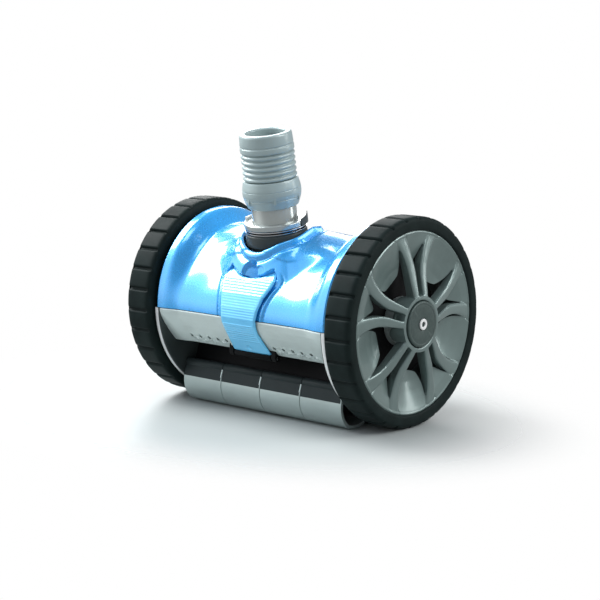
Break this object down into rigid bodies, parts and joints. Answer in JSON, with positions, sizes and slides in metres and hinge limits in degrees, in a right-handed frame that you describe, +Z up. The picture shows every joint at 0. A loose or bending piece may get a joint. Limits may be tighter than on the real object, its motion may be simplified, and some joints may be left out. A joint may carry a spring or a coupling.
{
  "type": "suction pool cleaner",
  "caption": "Suction-driven wheeled pool cleaner: barrel body between large treaded wheels, hinged latched cover, tilting hose swivel, turbine gear drive and hinged floor flaps.",
  "frame": {"origin": "on the floor, midway between the two wheels, straight below the wheel axle", "axes": "+X along the wheel axle, -Y is the front with the latch and panel, +Z up"},
  "size_m": [0.304, 0.2008, 0.2785],
  "materials": {
    "blue_gloss": "glossy injection-moulded blue",
    "panel_grey": "satin light grey moulding",
    "dark_grey": "satin dark grey moulding",
    "black_plastic": "matt black moulding",
    "rubber_black": "matt rubber",
    "tyre_rubber": "matt moulded tread rubber",
    "wheel_grey": "satin metallic grey moulding",
    "cap_grey": "fine-textured dark grey",
    "white_plastic": "white moulding",
    "hose_grey": "soft satin hose plastic",
    "swivel_grey": "polished grey moulding",
    "steel": "stainless",
    "acetal": "natural acetal",
    "flap_grey": "satin grey moulding",
    "iron": "coated ballast iron"
  },
  "bodies": {
    "chassis": {"lower_housing": "black_plastic", "front_panel": "panel_grey", "rear_panel": "panel_grey", "turbine_housing": "dark_grey", "ballast_bar": "iron", "side_plate_left": "dark_grey", "side_plate_right": "dark_grey", "edge_ring_left": "steel", "edge_ring_right": "steel", "stub_axle_left": "steel", "stub_axle_right": "steel", "shaft_bearing_left": "steel", "shaft_bearing_right": "steel", "idler_bush_left": "acetal", "idler_bush_right": "acetal", "cover_hinge_pin": "steel", "latch_pin": "steel", "front_flap_rod": "steel", "rear_flap_rod": "steel"},
    "cover": {"top_cover": "blue_gloss", "tilt_pin_left": "steel", "tilt_pin_right": "steel"},
    "latch": {"latch_strap": "blue_gloss"},
    "hose_carriage": {"swivel_drum": "dark_grey", "seal_ring": "rubber_black", "retaining_ring": "steel", "collar_plate": "swivel_grey"},
    "hose_swivel": {"neck_tube": "swivel_grey", "hose_cuff": "hose_grey", "ribbed_hose": "hose_grey", "hose_end_cuff": "hose_grey"},
    "turbine": {"turbine_rotor": "acetal", "turbine_shaft": "steel", "drive_pinion_left": "acetal", "drive_pinion_right": "acetal"},
    "idler_left": {"compound_gear_left": "acetal"},
    "idler_right": {"compound_gear_right": "acetal"},
    "wheel_left": {"tyre_left": "tyre_rubber", "wheel_rim_left": "wheel_grey", "wheel_bush_left": "acetal", "ring_gear_left": "acetal", "hub_cap_left": "cap_grey", "cap_ring_left": "white_plastic"},
    "wheel_right": {"tyre_right": "tyre_rubber", "wheel_rim_right": "wheel_grey", "wheel_bush_right": "acetal", "ring_gear_right": "acetal", "hub_cap_right": "cap_grey", "cap_ring_right": "white_plastic"},
    "front_flap_body_1": {"front_flap_1": "flap_grey"},
    "rear_flap_body_1": {"rear_flap_1": "flap_grey"},
    "front_flap_body_2": {"front_flap_2": "flap_grey"},
    "rear_flap_body_2": {"rear_flap_2": "flap_grey"},
    "front_flap_body_3": {"front_flap_3": "flap_grey"},
    "rear_flap_body_3": {"rear_flap_3": "flap_grey"},
    "front_flap_body_4": {"front_flap_4": "flap_grey"},
    "rear_flap_body_4": {"rear_flap_4": "flap_grey"}
  },
  "joints": [
    {"name": "cover_hinge", "type": "hinge", "parent": "chassis", "child": "cover", "pos_m": [0, 0.094, 0.0994], "axis": [-1, 0, 0], "range_deg": [0, 45]},
    {"name": "latch_hinge", "type": "hinge", "parent": "chassis", "child": "latch", "pos_m": [0, -0.0673, 0.062], "axis": [1, 0, 0], "range_deg": [0, 90]},
    {"name": "hose_tilt", "type": "hinge", "parent": "cover", "child": "hose_carriage", "pos_m": [0, -0.0257, 0.12], "axis": [-1, 0, 0], "range_deg": [0, 30]},
    {"name": "hose_spin", "type": "hinge", "parent": "hose_carriage", "child": "hose_swivel", "pos_m": [0, -0.0257, 0.12], "axis": [0, -0.1599, 0.9871], "continuous": true},
    {"name": "wheel_left_spin", "type": "hinge", "parent": "chassis", "child": "wheel_left", "pos_m": [0, 0, 0.1], "axis": [1, 0, 0], "continuous": true},
    {"name": "wheel_right_spin", "type": "hinge", "parent": "chassis", "child": "wheel_right", "pos_m": [0, 0, 0.1], "axis": [1, 0, 0], "continuous": true},
    {"name": "idler_left_spin", "type": "hinge", "parent": "chassis", "child": "idler_left", "pos_m": [0, 0.036, 0.1], "axis": [1, 0, 0], "continuous": true},
    {"name": "idler_right_spin", "type": "hinge", "parent": "chassis", "child": "idler_right", "pos_m": [0, 0.036, 0.1], "axis": [1, 0, 0], "continuous": true},
    {"name": "turbine_spin", "type": "hinge", "parent": "chassis", "child": "turbine", "pos_m": [0, 0, 0.1], "axis": [1, 0, 0], "continuous": true},
    {"name": "front_flap_1_hinge", "type": "hinge", "parent": "chassis", "child": "front_flap_body_1", "pos_m": [0, -0.0535, 0.04], "axis": [1, 0, 0], "range_deg": [0, 12]},
    {"name": "rear_flap_1_hinge", "type": "hinge", "parent": "chassis", "child": "rear_flap_body_1", "pos_m": [0, 0.0535, 0.04], "axis": [-1, 0, 0], "range_deg": [0, 12]},
    {"name": "front_flap_2_hinge", "type": "hinge", "parent": "chassis", "child": "front_flap_body_2", "pos_m": [0, -0.0535, 0.04], "axis": [1, 0, 0], "range_deg": [0, 12]},
    {"name": "rear_flap_2_hinge", "type": "hinge", "parent": "chassis", "child": "rear_flap_body_2", "pos_m": [0, 0.0535, 0.04], "axis": [-1, 0, 0], "range_deg": [0, 12]},
    {"name": "front_flap_3_hinge", "type": "hinge", "parent": "chassis", "child": "front_flap_body_3", "pos_m": [0, -0.0535, 0.04], "axis": [1, 0, 0], "range_deg": [0, 12]},
    {"name": "rear_flap_3_hinge", "type": "hinge", "parent": "chassis", "child": "rear_flap_body_3", "pos_m": [0, 0.0535, 0.04], "axis": [-1, 0, 0], "range_deg": [0, 12]},
    {"name": "front_flap_4_hinge", "type": "hinge", "parent": "chassis", "child": "front_flap_body_4", "pos_m": [0, -0.0535, 0.04], "axis": [1, 0, 0], "range_deg": [0, 12]},
    {"name": "rear_flap_4_hinge", "type": "hinge", "parent": "chassis", "child": "rear_flap_body_4", "pos_m": [0, 0.0535, 0.04], "axis": [-1, 0, 0], "range_deg": [0, 12]}
  ],
  "couplings": [
    {"joint": "latch_hinge", "follows": "cover_hinge", "ratio": 2},
    {"joint": "wheel_right_spin", "follows": "wheel_left_spin", "ratio": 1},
    {"joint": "idler_left_spin", "follows": "wheel_left_spin", "ratio": 4},
    {"joint": "idler_right_spin", "follows": "wheel_left_spin", "ratio": 4},
    {"joint": "turbine_spin", "follows": "wheel_left_spin", "ratio": -12}
  ]
}
